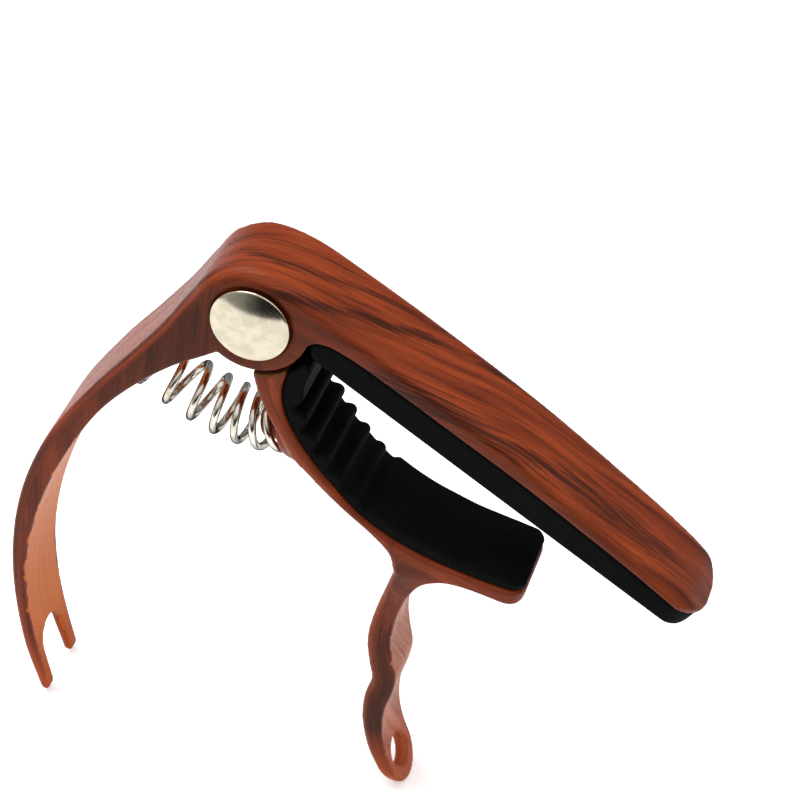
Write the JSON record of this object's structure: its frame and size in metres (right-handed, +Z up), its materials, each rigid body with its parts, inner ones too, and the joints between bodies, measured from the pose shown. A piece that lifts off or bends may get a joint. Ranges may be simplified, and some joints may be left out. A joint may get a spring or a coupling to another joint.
{
  "type": "guitar capo",
  "caption": "Spring clamp that holds a guitar's strings down: a straight padded bar and a curved padded jaw on one pivot, with a hooked pin-puller handle and a wavy handle.",
  "frame": {"origin": "middle of the bottom of the bounding box, the level the two handles stand on", "axes": "+Y along the pivot axis, which stands 80.9 mm above the origin and 15.9 mm towards the hook handle, +Z up when the capo stands on its two handles, +X towards the jaws' open end"},
  "size_m": [0.0982, 0.0168, 0.0887],
  "materials": {
    "printed_casting": "satin rosewood print under clear lacquer",
    "pad_silicone": "matt",
    "tape": "matt",
    "nickel": "polished",
    "pin_steel": "ground",
    "washer_nylon": "satin",
    "spring_wire": "nickel-plated"
  },
  "bodies": {
    "upper": {"upper_arm": "printed_casting", "fret_pad": "pad_silicone", "fret_pad_tape": "tape", "pivot_pin": "pin_steel", "front_cap": "nickel", "back_cap": "nickel", "front_washer": "washer_nylon", "back_washer": "washer_nylon", "main_spring": "spring_wire"},
    "lower": {"lower_arm": "printed_casting", "neck_pad": "pad_silicone", "neck_pad_tape": "tape"}
  },
  "joints": [
    {"name": "jaw_pivot", "type": "hinge", "parent": "upper", "child": "lower", "pos_m": [-0.0159, 0, 0.08092], "axis": [0, 1, 0], "range_deg": [0, 32], "stiffness_Nm_per_rad": 1.5, "springref_deg": -20.05, "deforming": ["main_spring"]}
  ]
}
